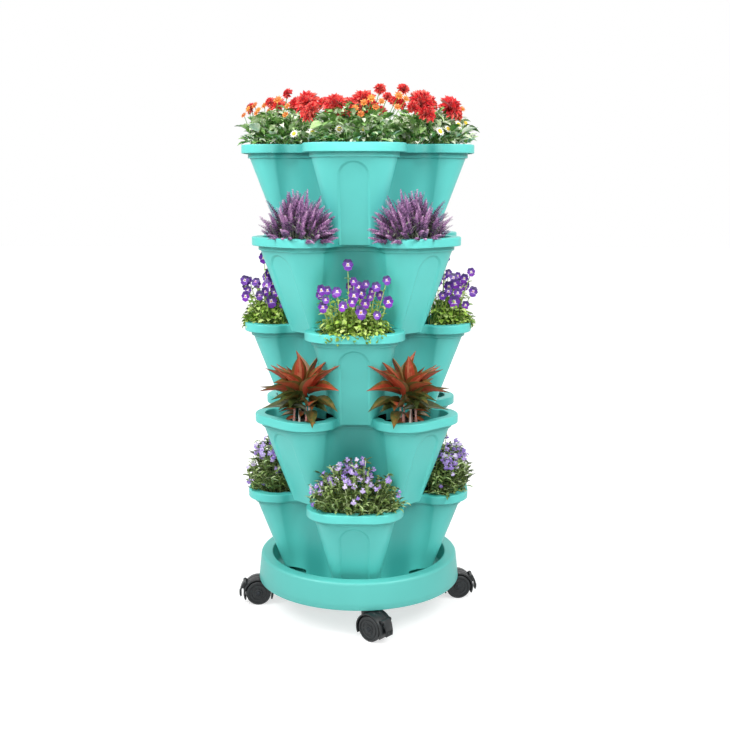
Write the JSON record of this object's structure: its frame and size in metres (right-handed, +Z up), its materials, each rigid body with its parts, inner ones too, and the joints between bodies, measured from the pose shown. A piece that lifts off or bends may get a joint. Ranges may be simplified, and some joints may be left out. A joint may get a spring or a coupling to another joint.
{
  "type": "vertical planter tower",
  "caption": "Stack of clover-shaped planter pots, each turned between the lobes of the one below, on a round tray with braked swivel casters.",
  "frame": {"origin": "on the floor, on the tower's vertical axis, under the middle of the tray", "axes": "+Z up along the tower's axis; the front, towards the viewer of the picture, is -Y; +X is to the viewer's right"},
  "size_m": [0.39, 0.3688, 0.8209],
  "materials": {
    "pot_plastic": "satin turquoise polypropylene",
    "tray_plastic": "satin turquoise polypropylene",
    "black_nylon": "semi-gloss black nylon",
    "black_tread": "satin black nylon",
    "zinc_steel": "zinc-plated",
    "soil": "moist potting soil",
    "lobelia_plants": "leaves and small pale violet flowers",
    "aglaonema_plants": "long red and green leaves",
    "viola_plants": "leaves and deep violet flowers",
    "lavender_plants": "spikes of mauve flowers",
    "dahlia_plants": "leaves with red and orange flowers"
  },
  "bodies": {
    "tray": {"saucer_tray": "tray_plastic", "caster_front_stem": "zinc_steel", "caster_right_stem": "zinc_steel", "caster_back_stem": "zinc_steel", "caster_left_stem": "zinc_steel"},
    "caster_front": {"caster_front_hood": "black_nylon", "caster_front_axle": "zinc_steel"},
    "caster_front_wheel_l": {"caster_front_wheel_left": "black_tread"},
    "caster_front_wheel_r": {"caster_front_wheel_right": "black_tread"},
    "caster_front_pedal": {"caster_front_brake_pedal": "black_nylon"},
    "caster_right": {"caster_right_hood": "black_nylon", "caster_right_axle": "zinc_steel"},
    "caster_right_wheel_l": {"caster_right_wheel_left": "black_tread"},
    "caster_right_wheel_r": {"caster_right_wheel_right": "black_tread"},
    "caster_right_pedal": {"caster_right_brake_pedal": "black_nylon"},
    "caster_back": {"caster_back_hood": "black_nylon", "caster_back_axle": "zinc_steel"},
    "caster_back_wheel_l": {"caster_back_wheel_left": "black_tread"},
    "caster_back_wheel_r": {"caster_back_wheel_right": "black_tread"},
    "caster_back_pedal": {"caster_back_brake_pedal": "black_nylon"},
    "caster_left": {"caster_left_hood": "black_nylon", "caster_left_axle": "zinc_steel"},
    "caster_left_wheel_l": {"caster_left_wheel_left": "black_tread"},
    "caster_left_wheel_r": {"caster_left_wheel_right": "black_tread"},
    "caster_left_pedal": {"caster_left_brake_pedal": "black_nylon"},
    "tier_1": {"planter_tier_1": "pot_plastic", "soil_tier_1": "soil", "lobelia_1": "lobelia_plants", "lobelia_2": "lobelia_plants", "lobelia_3": "lobelia_plants", "lobelia_4": "lobelia_plants"},
    "tier_2": {"planter_tier_2": "pot_plastic", "soil_tier_2": "soil", "aglaonema_1": "aglaonema_plants", "aglaonema_2": "aglaonema_plants", "aglaonema_3": "aglaonema_plants", "aglaonema_4": "aglaonema_plants"},
    "tier_3": {"planter_tier_3": "pot_plastic", "soil_tier_3": "soil", "viola_1": "viola_plants", "viola_2": "viola_plants", "viola_3": "viola_plants", "viola_4": "viola_plants"},
    "tier_4": {"planter_tier_4": "pot_plastic", "soil_tier_4": "soil", "lavender_1": "lavender_plants", "lavender_2": "lavender_plants", "lavender_3": "lavender_plants", "lavender_4": "lavender_plants"},
    "tier_5": {"planter_tier_5": "pot_plastic", "soil_tier_5": "soil", "dahlia_1": "dahlia_plants", "dahlia_2": "dahlia_plants", "dahlia_3": "dahlia_plants", "dahlia_4": "dahlia_plants"}
  },
  "joints": [
    {"name": "swivel_front", "type": "hinge", "parent": "tray", "child": "caster_front", "pos_m": [0.01828, -0.14888, 0.04469], "axis": [0, 0, 1], "continuous": true},
    {"name": "roll_front_l", "type": "hinge", "parent": "caster_front", "child": "caster_front_wheel_l", "pos_m": [0.0301, -0.15812, 0.01999], "axis": [0.6157, 0.788, 0], "continuous": true},
    {"name": "roll_front_r", "type": "hinge", "parent": "caster_front", "child": "caster_front_wheel_r", "pos_m": [0.0301, -0.15812, 0.01999], "axis": [0.6157, 0.788, 0], "continuous": true},
    {"name": "brake_front", "type": "hinge", "parent": "caster_front", "child": "caster_front_pedal", "pos_m": [0.04744, -0.17167, 0.03597], "axis": [0.6157, 0.788, 0], "range_deg": [0, 8]},
    {"name": "swivel_right", "type": "hinge", "parent": "tray", "child": "caster_right", "pos_m": [0.14888, 0.01828, 0.04469], "axis": [0, 0, 1], "continuous": true},
    {"name": "roll_right_l", "type": "hinge", "parent": "caster_right", "child": "caster_right_wheel_l", "pos_m": [0.16377, 0.02011, 0.01999], "axis": [-0.1219, 0.9925, 0], "continuous": true},
    {"name": "roll_right_r", "type": "hinge", "parent": "caster_right", "child": "caster_right_wheel_r", "pos_m": [0.16377, 0.02011, 0.01999], "axis": [-0.1219, 0.9925, 0], "continuous": true},
    {"name": "brake_right", "type": "hinge", "parent": "caster_right", "child": "caster_right_pedal", "pos_m": [0.18561, 0.02279, 0.03597], "axis": [-0.1219, 0.9925, 0], "range_deg": [0, 8]},
    {"name": "swivel_back", "type": "hinge", "parent": "tray", "child": "caster_back", "pos_m": [-0.01828, 0.14888, 0.04469], "axis": [0, 0, 1], "continuous": true},
    {"name": "roll_back_l", "type": "hinge", "parent": "caster_back", "child": "caster_back_wheel_l", "pos_m": [-0.0301, 0.15812, 0.01999], "axis": [-0.6157, -0.788, 0], "continuous": true},
    {"name": "roll_back_r", "type": "hinge", "parent": "caster_back", "child": "caster_back_wheel_r", "pos_m": [-0.0301, 0.15812, 0.01999], "axis": [-0.6157, -0.788, 0], "continuous": true},
    {"name": "brake_back", "type": "hinge", "parent": "caster_back", "child": "caster_back_pedal", "pos_m": [-0.04744, 0.17167, 0.03597], "axis": [-0.6157, -0.788, 0], "range_deg": [0, 8]},
    {"name": "swivel_left", "type": "hinge", "parent": "tray", "child": "caster_left", "pos_m": [-0.14888, -0.01828, 0.04469], "axis": [0, 0, 1], "continuous": true},
    {"name": "roll_left_l", "type": "hinge", "parent": "caster_left", "child": "caster_left_wheel_l", "pos_m": [-0.16377, -0.02011, 0.01999], "axis": [0.1219, -0.9925, 0], "continuous": true},
    {"name": "roll_left_r", "type": "hinge", "parent": "caster_left", "child": "caster_left_wheel_r", "pos_m": [-0.16377, -0.02011, 0.01999], "axis": [0.1219, -0.9925, 0], "continuous": true},
    {"name": "brake_left", "type": "hinge", "parent": "caster_left", "child": "caster_left_pedal", "pos_m": [-0.18561, -0.02279, 0.03597], "axis": [0.1219, -0.9925, 0], "range_deg": [0, 8]},
    {"name": "lift_1", "type": "slide", "parent": "tray", "child": "tier_1", "axis": [0, 0, 1], "range_m": [0, 0.15]},
    {"name": "lift_2", "type": "slide", "parent": "tier_1", "child": "tier_2", "axis": [0, 0, 1], "range_m": [0, 0.15]},
    {"name": "lift_3", "type": "slide", "parent": "tier_2", "child": "tier_3", "axis": [0, 0, 1], "range_m": [0, 0.15]},
    {"name": "lift_4", "type": "slide", "parent": "tier_3", "child": "tier_4", "axis": [0, 0, 1], "range_m": [0, 0.15]},
    {"name": "lift_5", "type": "slide", "parent": "tier_4", "child": "tier_5", "axis": [0, 0, 1], "range_m": [0, 0.15]}
  ]
}
